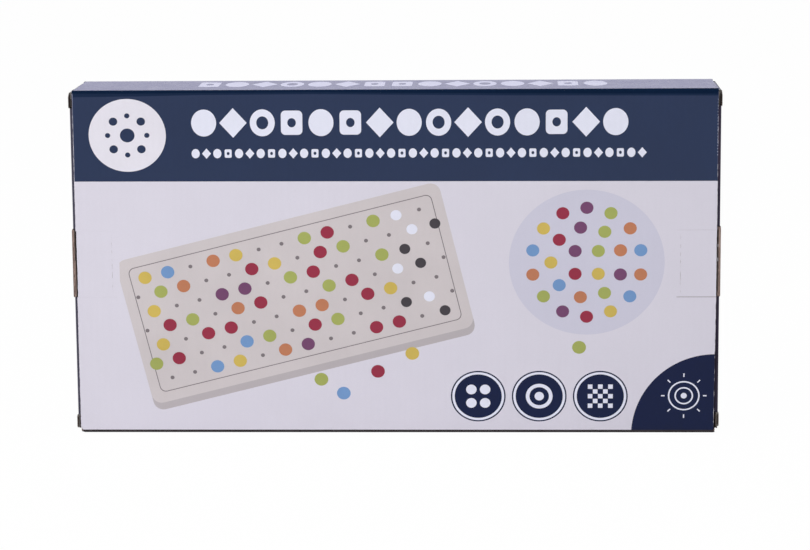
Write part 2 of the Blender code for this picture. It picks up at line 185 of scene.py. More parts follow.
class Recipe:
    """Adds and joins the shader nodes of a material or of the world."""

    def __init__(self, block, shader="Principled BSDF"):
        block.use_nodes = True
        self.block = block
        self.tree = block.node_tree
        self.shader = self.tree.nodes[shader]

    def feed(self, socket, value):
        """Joins a socket to another, or sets its value."""
        if isinstance(value, bpy.types.NodeSocket):
            self.tree.links.new(value, socket)
        elif isinstance(value, tuple) and len(value) == 3 and socket.type == "RGBA":
            socket.default_value = (*value, 1.0)
        else:
            socket.default_value = value

    def set(self, name, value):
        self.feed(self.shader.inputs[name], value)

    def add(self, kind, inputs=(), **settings):
        """A new node, with its inputs fed by name or by number."""
        node = self.tree.nodes.new(kind)
        for key, value in settings.items():
            setattr(node, key, value)
        for key, value in dict(inputs).items():
            self.feed(node.inputs[key], value)
        return node

    def coordinates(self, kind="Object"):
        return self.add("ShaderNodeTexCoord").outputs[kind]

    def axes(self, kind="Object"):
        return self.add("ShaderNodeSeparateXYZ", {0: self.coordinates(kind)}).outputs

    def math(self, operation, *values):
        return self.add("ShaderNodeMath", enumerate(values), operation=operation).outputs[0]

    def mix(self, factor, a, b):
        return self.add("ShaderNodeMix", {0: factor, 6: a, 7: b}, data_type="RGBA").outputs[2]

    def noise(self, scale, detail=3.0, stretch=(1, 1, 1)):
        """Noise over the piece; scale is in waves to the metre."""
        mapping = self.add("ShaderNodeMapping", {"Vector": self.coordinates(), "Scale": stretch})
        inputs = {"Vector": mapping.outputs[0], "Scale": scale, "Detail": detail}
        return self.add("ShaderNodeTexNoise", inputs).outputs["Fac"]

    def spread(self, value, low, high, from_low=0.3, from_high=0.7):
        """A value carried from one range to another."""
        source = {"Value": value, "From Min": from_low, "From Max": from_high}
        return self.add("ShaderNodeMapRange", {**source, "To Min": low, "To Max": high}).outputs[0]

    def mottle(self, value, colour, contrast):
        """A colour that runs from darker to lighter with a value."""
        dark, light = scaled(colour, 1 - contrast), scaled(colour, 1 + contrast)
        return self.mix(self.spread(value, 0, 1), dark, light)

    def bump(self, relief, distance):
        """Adds relief, in millimetres, to what is there."""
        node = self.add("ShaderNodeBump", {"Height": relief, "Distance": distance * MM, "Strength": 1.0})
        normal = self.shader.inputs["Normal"]
        if normal.is_linked:
            self.feed(node.inputs["Normal"], normal.links[0].from_socket)
        self.feed(normal, node.outputs[0])

    def waves(self, along, pitch):
        """A sine of this pitch, in millimetres, along a coordinate."""
        return self.math("SINE", self.math("MULTIPLY", along, math.tau / (pitch * MM)))

    def flute_ribs(self):
        """The flutes' faint ribs: across X on the sleeve and across Y on the ends."""
        x, y, _ = self.axes()
        upright = self.math("SUBTRACT", 1.0, self.math("ABSOLUTE", self.axes("Normal")[2]))
        return self.waves(self.math("ADD", x, self.math("MULTIPLY", y, upright)), flute_pitch)

    def direct_rays(self):
        """1 to the camera, to reflections and through glass, 0 to everything else."""
        rays = self.add("ShaderNodeLightPath").outputs
        seen = self.math("MAXIMUM", rays["Is Camera Ray"], rays["Is Glossy Ray"])
        return self.math("MAXIMUM", seen, rays["Is Transmission Ray"])


def new_recipe(name):
    """The recipe of a new material."""
    return Recipe(bpy.data.materials.new(name))


def ink(name, colour, roughness=0.34, variation=0.05, gloss=0.3, low_bloom=0):
    """Offset print under a thin varnish on corrugated board, with a bluish bloom at a low angle."""
    recipe = new_recipe(name)
    tone = recipe.mottle(recipe.noise(35, 4), colour, variation)
    grain = recipe.spread(recipe.noise(2600, 2), 0, 0.18)
    recipe.set("Base Color", recipe.mix(grain, tone, scaled(colour, 0.86)))
    recipe.set("Roughness", recipe.spread(recipe.noise(220, 3), roughness - 0.04, roughness + 0.05))
    recipe.set("Specular IOR Level", gloss)
    recipe.set("Sheen Weight", low_bloom)
    recipe.set("Sheen Tint", bloom_tint)
    recipe.bump(recipe.flute_ribs(), 0.012)
    recipe.bump(recipe.noise(900, 3), 0.012)
    return recipe.block


def raw_board(name, colour, contrast):
    """Unprinted recycled board: fibres, flecks and a soft uneven tone."""
    recipe = new_recipe(name)
    fibres = recipe.noise(1500, 4, (1, 1, 0.35))
    blotches = recipe.spread(recipe.noise(60, 3), 0, 0.3)
    flecks = recipe.math("GREATER_THAN", recipe.noise(2400, 1), 0.66)
    tone = recipe.mix(blotches, recipe.mottle(fibres, colour, contrast), scaled(colour, 0.8))
    fleck_share = recipe.math("MULTIPLY", flecks, 0.35)
    recipe.set("Base Color", recipe.mix(fleck_share, tone, scaled(colour, 0.45)))
    recipe.set("Roughness", 0.85)
    recipe.bump(fibres, 0.03)
    recipe.bump(recipe.flute_ribs(), 0.015)
    return recipe.block


def wood_material():
    """Whitewashed poplar, its grain along X."""
    recipe = new_recipe("whitewashed_wood")
    grain = recipe.noise(95, 6, (0.06, 1, 1))
    pores = recipe.noise(900, 3, (0.05, 1, 1))
    tone = recipe.mix(recipe.spread(grain, 0, 1), (0.60, 0.52, 0.44), (0.77, 0.71, 0.64))
    pore_share = recipe.spread(pores, 0, 0.45, 0.5, 0.75)
    recipe.set("Base Color", recipe.mix(pore_share, tone, (0.45, 0.37, 0.29)))
    recipe.set("Roughness", recipe.spread(pores, 0.5, 0.68))
    recipe.bump(pores, 0.04)
    recipe.bump(grain, 0.05)
    return recipe.block


def lacquer_material(name, colour):
    """Thick toy lacquer on turned wood, with the ghost of the grain below."""
    recipe = new_recipe(name)
    ghost = recipe.noise(700, 3, (0.15, 1, 1))
    recipe.set("Base Color", recipe.mix(recipe.spread(ghost, 0, 0.4), colour, scaled(colour, 0.72)))
    recipe.set("Roughness", 0.28)
    recipe.set("Coat Weight", 0.6)
    recipe.set("Coat Roughness", 0.12)
    recipe.bump(ghost, 0.02)
    return recipe.block


def cloth_material(name, colour, thread):
    """Plain weave of this thread pitch, in millimetres, with slubs and a soft sheen."""
    recipe = new_recipe(name)
    x, y, z = recipe.axes()
    warp = recipe.waves(recipe.math("ADD", x, y), thread)
    weave = recipe.math("MULTIPLY", warp, recipe.waves(z, thread))
    slub = recipe.noise(500, 3, (1, 1, 0.2))
    shade = recipe.mix(recipe.spread(weave, 0, 1, -1, 1), scaled(colour, 0.80), colour)
    recipe.set("Base Color", recipe.mix(recipe.spread(slub, 0, 0.25), shade, scaled(colour, 0.85)))
    recipe.set("Roughness", 0.92)
    recipe.set("Sheen Weight", 0.25)
    recipe.bump(weave, 0.08)
    recipe.bump(slub, 0.06)
    return recipe.block


def paper_material():
    """Uncoated leaflet paper with a fine tooth."""
    recipe = new_recipe("leaflet_paper")
    cloud = recipe.spread(recipe.noise(80, 3), 0, 1)
    recipe.set("Base Color", recipe.mix(cloud, (0.76, 0.76, 0.75), (0.84, 0.84, 0.83)))
    recipe.set("Roughness", 0.75)
    recipe.bump(recipe.noise(1800, 4), 0.01)
    return recipe.block


# Of each ink: colour, roughness, variation of tone, gloss and bloom
inks = {
    "navy": (navy,),
    "top": (navy, 0.285, 0.05, 0.5, bloom),
    "top_white": (print_white, 0.3, 0.015, 0.5, bloom),
    # Painted shade of the tuck folds' outside, darker on the right than on the left
    "worn_right": ((0.040, 0.031, 0.060), 0.5, 0.35, 0.14),
    "worn_left": ((0.060, 0.055, 0.088), 0.5, 0.35, 0.2),
    # Printed navies: the header's is a little lighter and the deep one darker than the plain navy, a
    # difference that also paints in the paler reflection high on the front and the darker reflection low
    # down
    "header": ((0.011, 0.025, 0.076),),
    "deep": ((0.001, 0.007, 0.046), 0.34, 0.05, 0.2),
    "rubbed": ((0.075, 0.078, 0.125), 0.5, 0.5, 0.2),
    "rubbed_pale": ((0.20, 0.21, 0.29), 0.5, 0.5, 0.2),
    # Painted shade of the top fold: its dark band and the band's softer lower edge
    "fold": ((0.004, 0.014, 0.042), 0.6, 0.05, 0.02),
    "soft_fold": ((0.006, 0.018, 0.054), 0.5, 0.05, 0.1),
    # Painted shade along the foot, where the bottom fold curves under and meets the floor
    "foot": ((0.034, 0.028, 0.031), 0.6, 0.3, 0.15),
    "field": ((0.73, 0.70, 0.795), 0.36, 0.012),
    "pale": ((0.64, 0.625, 0.75), 0.36, 0.012),
    "white": (print_white, 0.36, 0.015),
    "badge": ((0.80, 0.775, 0.855), 0.36, 0.015),
    "cream": ((0.64, 0.585, 0.60), 0.36, 0.04),
    "cream_shade": ((0.50, 0.455, 0.48), 0.36, 0.04),
    "outline": ((0.20, 0.17, 0.185), 0.36, 0.04),
    "line": ((0.05, 0.045, 0.042), 0.6),
}
# Of each raw board: colour and contrast
raw_boards = {
    "kraft": (kraft, 0.22),
    "medium": (scaled(kraft, 0.78), 0.3),
    # Painted shade: near black for the open flutes and gaps of cut ends
    "hollow": ((0.030, 0.026, 0.026), 0.5),
    # Painted shade: darkened kraft for the cut ear stubs
    "stub": ((0.185, 0.172, 0.160), 0.35),
    "grey_rim": ((0.13, 0.13, 0.132), 0.3),
    "crushed": (scaled(kraft, 1.15), 0.4),
    "torn": ((0.60, 0.58, 0.64), 0.2),
}
finishes = {
    "wood": wood_material(),
    "cotton": cloth_material("bag_cotton", (0.80, 0.80, 0.83), 0.62),
    "string": cloth_material("string_cotton", (0.84, 0.84, 0.85), 0.4),
    "paper": paper_material(),
}
for word, values in inks.items():
    finishes[word] = ink(word + "_ink", *values)
for word, values in raw_boards.items():
    finishes[word] = raw_board(word + "_board", *values)
for word, colour in dot_colours.items():
    finishes["dot_" + word] = ink(word + "_dot_ink", colour, 0.36, 0.06)
for word, colour in lacquers.items():
    finishes["lacquer_" + word] = lacquer_material(word + "_lacquer", colour)


def quads(a, b, count):
    """Faces between two closed rings of points, which start at a and b."""
    return [(a + i, a + (i + 1) % count, b + (i + 1) % count, b + i) for i in range(count)]


class Shape:
    """Points, faces and the finish of each face of one piece, in millimetres."""

    def __init__(self):
        self.points = []
        self.faces = []
        self.face_finishes = []

    def add(self, points, faces, finish):
        """Adds faces that share a finish, or a list with one finish for each."""
        start = len(self.points)
        self.points += [tuple(p) for p in points]
        self.faces += [tuple(start + i for i in face) for face in faces]
        self.face_finishes += finish if isinstance(finish, list) else [finish] * len(faces)

    def loft(self, rings, finish, capped=True):
        """Joins closed rings of the same count by quads."""
        count = len(rings[0])
        points = [p for ring in rings for p in ring]
        faces = []
        for row in range(len(rings) - 1):
            faces += quads(row * count, (row + 1) * count, count)
        if capped:
            faces.append(tuple(range(count))[::-1])
            faces.append(tuple(range(len(points) - count, len(points))))
        self.add(points, faces, finish)

    def strip(self, rings, finish):
        """A prism whose two ends run out along one edge of a thin strip and back along the other."""
        count = len(rings[0])
        faces = quads(0, count, count)
        for i in range(count // 2 - 1):
            j = count - 1 - i
            faces.append((i, j, j - 1, i + 1))
            faces.append((i + count, i + 1 + count, j - 1 + count, j + count))
        self.add(rings[0] + rings[1], faces, finish)


def signed_area(loop):
    """Area of a plane loop, positive where it runs anticlockwise."""
    return sum(a[0] * b[1] - b[0] * a[1] for a, b in zip(loop, loop[1:] + loop[:1])) / 2


def add_slab(shape, place, outline, regions, near, far, ground, edge):
    """A flat sheet between two depths, its near face painted region over region.

    The edge finish is a name, or a function of the height that gives one.
    """
    loops = [outline] + [loop for loop, _ in regions]
    paints = [ground] + [finish for _, finish in regions]
    flat = [Vector(p) for loop in loops for p in loop]
    cycles, start = [], 0
    for loop in loops:
        cycle = list(range(start, start + len(loop)))
        cycles.append(cycle if signed_area(loop) > 0 else cycle[::-1])
        start += len(loop)
    vertices, _, triangles, _, _, sources = delaunay_2d_cdt(flat, [], cycles, 1, weld, True)
    kept = [(tuple(t), paints[max(s)]) for t, s in zip(triangles, sources) if 0 in s]
    count = len(vertices)
    points = [place(v.x, v.y, depth) for depth in (near, far) for v in vertices]
    faces = [t for t, _ in kept] + [tuple(i + count for i in reversed(t)) for t, _ in kept]
    painted = [finish for _, finish in kept] + ["kraft"] * len(kept)
    directed = {(t[i], t[(i + 1) % len(t)]) for t, _ in kept for i in range(len(t))}
    for a, b in sorted(directed):
        if (b, a) not in directed:
            faces.append((b, a, a + count, b + count))
            painted.append(edge((vertices[a].y + vertices[b].y) / 2) if callable(edge) else edge)
    used = sorted({i for face in faces for i in face})
    renumber = {old: new for new, old in enumerate(used)}
    faces = [tuple(renumber[i] for i in face) for face in faces]
    shape.add([points[i] for i in used], faces, painted)


def add_liners(shape, place, outer, inner, art, ground, outer_edge="kraft", inner_edge="kraft"):
    """The board's outer liner, with its print, and its plain inner one."""
    add_slab(shape, place, outer, art, 0, liner, ground, outer_edge)
    add_slab(shape, place, inner, [], caliper - liner, caliper, "kraft", inner_edge)


def add_flutes(shape, place, low, high, start, end, finish="medium"):
    """The wavy medium between the liners: waves from low to high, flutes from start to end."""
    steps = max(2, round((high - low) / flute_pitch * flute_steps))
    swing = (caliper - 2 * liner - flute_wall) / 2 + flute_bite
    near_edge, far_edge = [], []
    for i in range(steps + 1):
        across = low + (high - low) * i / steps
        middle = caliper / 2 + swing * math.sin(math.tau * across / flute_pitch)
        near_edge.append((across, middle - flute_wall / 2))
        far_edge.append((across, middle + flute_wall / 2))
    section = near_edge + far_edge[::-1]
    shape.strip([[place(across, v, depth) for across, depth in section] for v in (start, end)], finish)


def add_object(name, data):
    """A new object in the scene."""
    obj = bpy.data.objects.new(name, data)
    bpy.context.scene.collection.objects.link(obj)
    return obj


def make_piece(name, shape, smooth_angle=30):
    """The Blender object of a shape, in metres, with its normals outward."""
    mesh = bpy.data.meshes.new(name)
    mesh.from_pydata([Vector(p) * MM for p in shape.points], [], shape.faces)
    order = sorted(set(shape.face_finishes))
    for finish in order:
        mesh.materials.append(finishes[finish])
    mesh.polygons.foreach_set("material_index", [order.index(f) for f in shape.face_finishes])
    work = bmesh.new()
    work.from_mesh(mesh)
    bmesh.ops.recalc_face_normals(work, faces=work.faces)
    work.to_mesh(mesh)
    work.free()
    mesh.shade_smooth()
    mesh.set_sharp_from_angle(angle=math.radians(smooth_angle))
    return add_object(name, mesh)


def dress(name, shape, body, stands_for=(), smooth_angle=30):
    """Makes a piece that rides on one body."""
    obj = make_piece(name, shape, smooth_angle)
    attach(obj, body)
    if stands_for:
        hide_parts(*stands_for)


# Plane outlines


def rectangle(low_u, high_u, low_v, high_v):
    return [(low_u, low_v), (high_u, low_v), (high_u, high_v), (low_u, high_v)]


def arc(centre, radius, start, end, steps):
    """Points of a round stretch, angles in degrees."""
    angles = [math.radians(start + (end - start) * i / steps) for i in range(steps + 1)]
    return [(centre[0] + radius * math.cos(a), centre[1] + radius * math.sin(a)) for a in angles]


def disc(centre, radius, count=36):
    return arc(centre, radius, 0, 360, count)[:-1]


def spot(centre, radius, count=36, squash=0.945):
    """A printed disc, which the print shows a little flattened."""
    return [(u, centre[1] + (v - centre[1]) * squash) for u, v in disc(centre, radius, count)]


def lozenge(centre, half_width, half_height):
    u, v = centre
    return [(u + half_width, v), (u, v + half_height), (u - half_width, v), (u, v - half_height)]


def rounded(low_u, high_u, low_v, high_v, radius, steps=6):
    """A rectangle with round corners, anticlockwise."""
    return (
        arc((high_u - radius, low_v + radius), radius, -90, 0, steps)
        + arc((high_u - radius, high_v - radius), radius, 0, 90, steps)
        + arc((low_u + radius, high_v - radius), radius, 90, 180, steps)
        + arc((low_u + radius, low_v + radius), radius, 180, 270, steps)
    )


def turned(points, centre, degrees):
    """Points turned about a centre and moved there."""
    c, s = math.cos(math.radians(degrees)), math.sin(math.radians(degrees))
    return [(centre[0] + u * c - v * s, centre[1] + u * s + v * c) for u, v in points]


def around(centre, radius, count, first=0):
    """Places at an even pitch round a centre, the first at an angle in degrees."""
    return [turned([(radius, 0)], centre, first + 360 / count * i)[0] for i in range(count)]


def ring(centre, radius, width, colour, ground, count=36):
    """A painted ring: a spot with a spot of the ground on it."""
    return [(spot(centre, radius, count), colour), (spot(centre, radius - width, count), ground)]


def roughen(outline, is_raw, rng):
    """Breaks the raw cuts of an anticlockwise outline into short uneven steps, inward only."""
    made = []
    for a, b in zip(outline, outline[1:] + outline[:1]):
        made.append(a)
        length = math.dist(a, b)
        if not is_raw(a, b):
            continue
        count = int(length / ragged_step)
        inward = ((a[1] - b[1]) / length, (b[0] - a[0]) / length)
        for i in range(1, count):
            share = (i + rng.uniform(-0.3, 0.3)) / count
            depth = ragged_depth * rng.random() ** 2
            made.append(tuple(a[k] + (b[k] - a[k]) * share + inward[k] * depth for k in (0, 1)))
    return made


# Printed design, in millimetres from the middle of the carton's foot

art_bleed = 3
header_low = 125.85
header_drop = 0.5
title_z = 154.45
subtitle_z = 139.45
row_start = -99.2
badge_centre = (-130.3, 148.5)
badge_radius = 18.9
slab_centre = (-49.5, 69.8)
slab_turn = 14
bag_disc_centre = (93.6, 85.3)
icon_z = 18.45
icon_xs = (40.4, 70.45, 100.5)
icon_radius = 13.5
corner_centre = (half_sleeve - 0.5, -1.3)
corner_radius = 40.8
colour_words = ("red", "yellow", "blue", "orange", "green", "purple")
title_kinds = (
    ["disc", "lozenge", "ring", "tile", "disc"]
    + ["tile", "lozenge", "disc", "ring", "lozenge"]
    + ["ring", "disc", "tile", "lozenge", "disc"]
)
subtitle_kinds = [("disc", "lozenge", "disc", "tile")[i % 4] for i in range(42)]
top_kinds = ["tile", "disc", "lozenge", "ring", "disc", "lozenge", "tile"] * 2 + ["disc"]


def mark(kind, centre, half_width, half_height, colour, ground):
    """One plain shape of a row: disc, ring, lozenge or bored tile."""
    u, v = centre
    squash = half_height / half_width
    whole = (spot(centre, half_width, 40, squash), colour)
    if kind == "disc":
        return [whole]
    if kind == "ring":
        return [whole, (spot(centre, 0.48 * half_width, 32, squash), ground)]
    if kind == "lozenge":
        return [(lozenge(centre, 1.1 * half_width, 1.1 * half_height), colour)]
    wide, tall = 0.86 * half_width, 0.9 * half_height
    tile = rounded(u - wide, u + wide, v - tall, v + tall, 0.35 * half_width)
    return [(tile, colour), (spot(centre, 0.34 * half_width, 28, squash), ground)]


def mark_row(kinds, start, pitch, level, half_width, half_height, colour, ground):
    """Plain shapes in a row, in the place of lettering."""
    made = []
    for i, kind in enumerate(kinds):
        made += mark(kind, (start + pitch * i, level), half_width, half_height, colour, ground)
    return made


def lettering():
    """White shapes in the place of the title, and small ones in the place of the line below it."""
    rows = (
        (title_kinds, row_start + 6.4, 14.3, title_z, 6.1, 6.6),
        (subtitle_kinds, row_start + 2.2, 5.3, subtitle_z, 2.0, 2.3),
    )
    return [mark for row in rows for mark in mark_row(*row, "white", "header")]


def badge():
    """White disc at the header's left end, with a plain pattern of dots."""
    made = [(spot(badge_centre, badge_radius, 80), "badge"), (spot(badge_centre, 3.6), "header")]
    for i, place in enumerate(around(badge_centre, 9.6, 8)):
        made.append((spot(place, 2.1 if i % 2 else 1.3), "header"))
    return made


def main_picture():
    """A plain tilted slab with staggered rows of coloured spots and pin holes."""
    rng = random.Random(7)
    made = []
    for half_u, low_v, high_v, radius, finish in (
        (82, -40.5, 36, 5, "cream_shade"),
        (82, -37, 37, 5, "cream"),
        (77, -32, 32, 3, "outline"),
        (76.6, -31.6, 31.6, 2.7, "cream"),
    ):
        loop = rounded(-half_u, half_u, low_v, high_v, radius)
        made.append((turned(loop, slab_centre, slab_turn), finish))
    for row in range(7):
        for column in range(13 + row % 2):
            u = 11.6 * (column - 6 - 0.5 * (row % 2))
            place = turned([(u, 8.6 * (row - 3))], slab_centre, slab_turn)[0]
            if (2 * column + 3 * row) % 7 < 3:
                made.append((spot(place, 1.0, 20), "outline"))
            elif u > 50:
                made.append((spot(place, 2.7, 28), "white" if (row + column) % 3 else "dot_black"))
            else:
                made.append((spot(place, 3.3, 32), "dot_" + rng.choice(colour_words)))
    return made


def bag_picture():
    """A pale disc with rings of coloured spots."""
    made = [(spot(bag_disc_centre, 38, 96), "pale")]
    for count, reach in ((14, 27), (9, 17.5), (4, 8)):
        for i, place in enumerate(around(bag_disc_centre, reach, count, 180 / count)):
            made.append((spot(place, 3.2, 32), "dot_" + colour_words[(i + count) % 6]))
    return made


def loose_dots():
    """A few spots beside the slab and the disc."""
    words = ("green", "blue", "red", "green", "yellow")
    places = ((-37, 27), (-26, 20), (-9, 31), (90, 43), (8, 40))
    return [(spot(place, 3.4, 32), "dot_" + word) for place, word in zip(places, words)]


def icons():
    """Three navy discs with thin rings round them, each with a plain pattern."""
    made = []
    first, second, third = ((x, icon_z) for x in icon_xs)
    for centre in (first, second, third):
        made += ring(centre, icon_radius, 0.7, "deep", "white", 80)
        made.append((spot(centre, icon_radius - 1.9, 72), "deep"))
    made += [(spot(place, 2.6, 28), "white") for place in around(first, 4.8, 4, 45)]
    made += ring(second, 6.6, 1.8, "white", "deep", 48)
    made.append((spot(second, 2.3, 28), "white"))
    for row in range(5):
        for column in range(5):
            u, v = third[0] + 2.5 * (column - 2), icon_z + 2.4 * (row - 2)
            if (row + column) % 2 == 0:
                made.append((rectangle(u - 1.15, u + 1.15, v - 1.1, v + 1.1), "white"))
    return made


def corner():
    """Navy quarter disc at the lower right, with plain rings and short strokes round them."""
    middle = (corner_centre[0] - 15, corner_centre[1] + 20)
    made = [(disc(corner_centre, corner_radius, 140), "deep")]
    made += ring(middle, 7.8, 0.75, "white", "deep", 56)
    made += ring(middle, 4.6, 0.75, "white", "deep", 44)
    made.append((spot(middle, 1.5, 28), "white"))
    stroke = rectangle(9.4, 11.2, -0.3, 0.3)
    return made + [(turned(stroke, middle, 45 * i), "white") for i in range(8)]


def fold_shadow():
    """Painted shade of the top fold: a two-tone dark band, which comes down unevenly on the front."""
    side, top = half_sleeve + art_bleed, height + art_bleed
    xs = (-side, -125, -95, -40, 0, 50, side)
    made = []
    for finish, drops in (
        ("soft_fold", (3.2, 2.9, 2.3, 2.1, 2.5, 3.0, 3.5)),
        ("fold", (1.4, 1.5, 1.3, 1.2, 1.6, 2.0, 2.6)),
    ):
        lower = [(x, height - drop) for x, drop in zip(xs, drops)]
        made.append(([(-side, top), *lower, (side, top)], finish))
    return made


def raw_end(word, z):
    """Distance from the middle to the front's raw end, which is cut a little aslant."""
    return half_sleeve - raw_end_lean[word] * (1 - z / height) ** 3


def scuffs(word, side, low, high, count, rng):
    """Long thin torn places along a raw upright edge of the front."""
    made = []
    for _ in range(count):
        z = rng.uniform(low, high)
        x = side * raw_end(word, z)
        long, wide = rng.uniform(*scuff_length), rng.uniform(*scuff_width)
        loop = []
        for i in range(8):
            angle = math.tau * i / 8
            across = wide * rng.uniform(0.6, 1) * math.cos(angle)
            loop.append((x + across, z + long * rng.uniform(0.6, 1) * math.sin(angle)))
        made.append((loop, "torn"))
    return made


def raw_rim(word, side, low, high):
    """Strip along a raw end of the front where the ink is rubbed off."""
    x_low, x_high = raw_end(word, low), raw_end(word, high)
    wide = rim_width[word]
    loop = [(x_low - wide, low), (x_low + 1, low), (x_high + 1, high), (x_high - wide, high)]
    return [(side * x, z) for x, z in loop]


def nicks(word, side, low, high):
    """Light nicks at an even pitch along a raw end, where the cutting rule caught the print."""
    made = []
    for i in range(int((high - low) / nick_pitch)):
        z = low + nick_pitch * i
        ends = sorted((side * (raw_end(word, z) - nick_width), side * (half_sleeve + 1)))
        made.append((rectangle(*ends, z, z + nick_height), "rubbed_pale"))
    return made


def front_art():
    """The whole print of the front, painted in order."""
    rng = random.Random(11)
    side, top = half_sleeve + art_bleed, height + art_bleed
    header = [(-side, header_low), (side, header_low - header_drop), (side, top), (-side, top)]
    made = [(header, "header")]
    made += main_picture() + bag_picture() + loose_dots() + icons() + corner()
    made += badge() + lettering() + fold_shadow()
    # Painted shade strip along the foot, where the bottom fold curves under
    made.append((rectangle(-side, side, -art_bleed, fold_radius + 0.5), "foot"))
    for word, side, low, high, rim, count in (
        ("right", 1, fold_radius + 2, corner_radius, "rubbed", 12),
        ("right", 1, header_low, height - 1.4, "rubbed", 8),
        ("left", -1, header_low, height - 1.4, "rubbed_pale", 20),
        ("right", 1, corner_radius, header_low, None, 10),
        ("left", -1, fold_radius + 2, header_low, None, 12),
    ):
        if rim:
            made.append((raw_rim(word, side, low, high), rim))
        made += scuffs(word, side, low, high, count, rng)
    return made + nicks("right", 1, header_low + 12, height - 3)


def top_art():
    """White shapes along the top panel, in the place of its lettering, and its rubbed left end."""
    rim = (rectangle(-half_sleeve - 1, 0.5 - half_sleeve, -half_depth, half_depth), "grey_rim")
    return mark_row(top_kinds, -92, 13.6, 3.8, 5.8, 11.5, "top_white", "top") + [rim]


def back_art():
    """Header band and a lattice of thin rings on the back."""
    side = half_sleeve + art_bleed
    made = [(rectangle(-side, side, header_low, height + art_bleed), "header")]
    for column in range(11):
        for row in range(4):
            centre = (-130 + 26 * column, 22 + 26 * row)
            made += ring(centre, 9, 0.8, "deep", "field", 48)
            if (column + row) % 3 == 0:
                made.append((spot(centre, 5), "dot_" + colour_words[(column + row) % 6]))
    return made


def end_art():
    """A column of coloured discs on an end closure."""
    made = []
    for i, word in enumerate(colour_words):
        made += ring((0, 34 + 20 * i), 7.6, 0.7, "white", "navy", 48)
        made.append((spot((0, 34 + 20 * i), 5.2, 40), "dot_" + word))
    return made


# Carton


def raw_upright(a, b):
    """True for a nearly upright cut at the front's raw ends."""
    return abs(a[0] - b[0]) < caliper and min(abs(a[0]), abs(b[0])) > tab_pivot.x + caliper


def foot_cut(word, z):
    """How far the carton's crushed bottom corner is cut back at a height."""
    back, rise = bottom_corner[word]
    return back * max(0, 1 - z / rise)


def front_outline(low_z, high_z, crease_x):
    """The front with a recess at each end for the lock tab and its crease."""
    made = []
    for word, side in sides:
        low_gap, high_gap = slit_half_gap[word]
        rise = bottom_corner[word][1]
        half = [(raw_end(word, low_z) - foot_cut(word, low_z), low_z)]
        if rise > low_z:
            half.append((raw_end(word, rise), rise))
        half += [
            (raw_end(word, tab_low.z), tab_low.z - low_gap),
            (tab_pivot.x, tab_low.z - low_gap),
            (tab_pivot.x, tab_low.z),
            (crease_x, tab_low.z),
            (crease_x, tab_high.z),
            (tab_pivot.x, tab_high.z),
            (tab_pivot.x, tab_high.z + high_gap),
            (raw_end(word, tab_high.z), tab_high.z + high_gap),
            (raw_end(word, high_z), high_z),
        ]
        made += [(side * x, z) for x, z in half[::side]]
    return made


def place_front(u, v, depth):
    return (u, -half_depth + depth, v)


def front_panel():
    """Printed front of the sleeve."""
    rng = random.Random(3)
    shape = Shape()
    crease_x = tab_pivot.x - crease_reach
    low_z, high_z = fold_radius, height - fold_radius
    outer = roughen(front_outline(low_z, high_z, crease_x), raw_upright, rng)
    inner = roughen(front_outline(front_low.z, front_high.z, crease_x), raw_upright, rng)
    add_liners(shape, place_front, outer, inner, front_art(), "field", "torn")
    add_flutes(shape, place_front, -crease_x, crease_x, low_z, high_z)
    for word, side in sides:
        for start, end, cut_z in (
            (low_z, tab_low.z - slit_inset, low_z),
            (tab_high.z + slit_inset, high_z, tab_high.z),
        ):
            ends = sorted((side * crease_x, side * (raw_end(word, cut_z) - flute_inset)))
            add_flutes(shape, place_front, *ends, start, end)
    dress("front_panel", shape, "carton", ["carton_front_panel"])


def lock_tab(word, side):
    """Tab in the front, from its crease to the raw end."""
    rng = random.Random(5 + side)
    shape = Shape()
    near = tab_pivot.x + crease_reach
    far = raw_end(word, tab_low.z) - tab_recess[word]
    ends = sorted((side * near, side * far))
    outline = roughen(rectangle(*ends, tab_low.z, tab_high.z), raw_upright, rng)
    art = scuffs(word, side, tab_low.z + 1, tab_high.z - 1, 9, rng)
    add_liners(shape, place_front, outline, outline, art, "field", "torn")
    flute_ends = sorted((side * near, side * (far - flute_inset)))
    add_flutes(shape, place_front, *flute_ends, tab_low.z, tab_high.z)
    dress(f"{word}_tab", shape, f"{word}_lock_tab", [f"{word}_lock_tab"])


def back_panel():
    """Back of the sleeve, between the folds of the closures."""
    shape = Shape()
    edge = closure_pivot.x - crease_reach
    low_z, high_z = fold_radius, height - fold_radius

    def place(u, v, depth):
        return (-u, half_depth - depth, v)

    outer = rectangle(-edge, edge, low_z, high_z)
    inner = rectangle(-edge, edge, front_low.z, front_high.z)
    add_liners(shape, place, outer, inner, back_art(), "field")
    add_flutes(shape, place, -edge, edge, low_z, high_z)
    dress("back_panel", shape, "carton", ["carton_back_panel"])


def narrow_outline(reach_y, notch_x, cuts):
    """The top or bottom panel, notched for the dust flaps' creases, with cut front corners."""
    made = []
    for word, side in sides:
        cut = cuts[word]
        half = [(half_sleeve - cut, -reach_y)]
        if cut:
            half.append((half_sleeve, cut - reach_y))
        half += [
            (half_sleeve, dust_low.y),
            (notch_x, dust_low.y),
            (notch_x, dust_high.y),
            (half_sleeve, dust_high.y),
            (half_sleeve, reach_y),
        ]
        made += [(side * x, y) for x, y in half[::side]]
    return made


